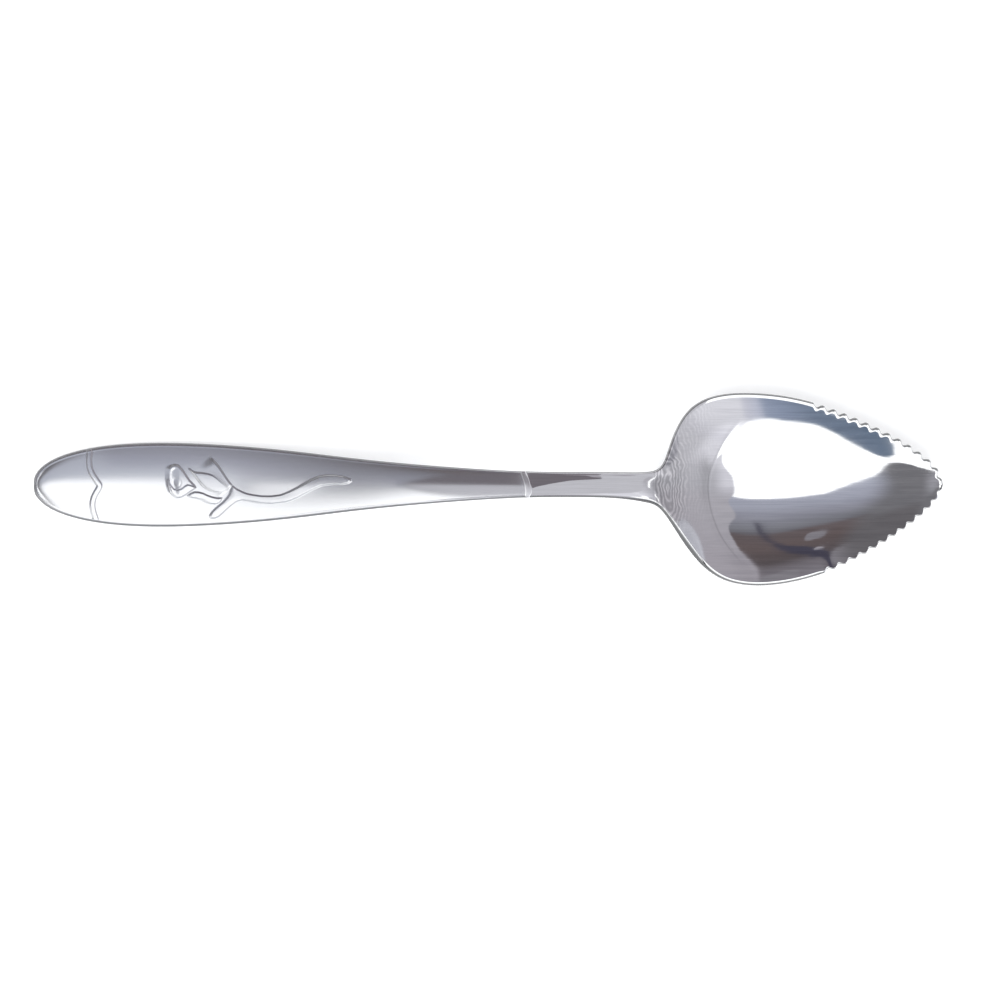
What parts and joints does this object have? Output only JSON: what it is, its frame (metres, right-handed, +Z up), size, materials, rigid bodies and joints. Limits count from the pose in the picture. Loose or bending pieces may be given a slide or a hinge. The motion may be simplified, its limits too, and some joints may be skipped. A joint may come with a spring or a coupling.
{
  "type": "grapefruit spoon",
  "caption": "Face-up grapefruit spoon with a pointed bowl toothed along both edges of its tip, a slim neck and a stamped, satin handle.",
  "frame": {"origin": "on the table, under the middle of the spoon's box, as it lies face up", "axes": "+X along the spoon towards the tip of the bowl, +Y to the left of someone who looks along +X from above, +Z up out of the bowl"},
  "size_m": [0.16, 0.0338, 0.0137],
  "materials": {
    "satin_steel": "stainless steel, satin from lengthwise brushing",
    "polished_steel": "stainless steel, mirror polished with fine lengthwise lines"
  },
  "bodies": {
    "root": {"handle": "satin_steel", "end_bead": "satin_steel", "rosebud": "satin_steel", "leaves": "satin_steel", "stem": "satin_steel", "neck_collar": "polished_steel", "neck": "polished_steel", "bowl": "polished_steel"}
  },
  "joints": []
}
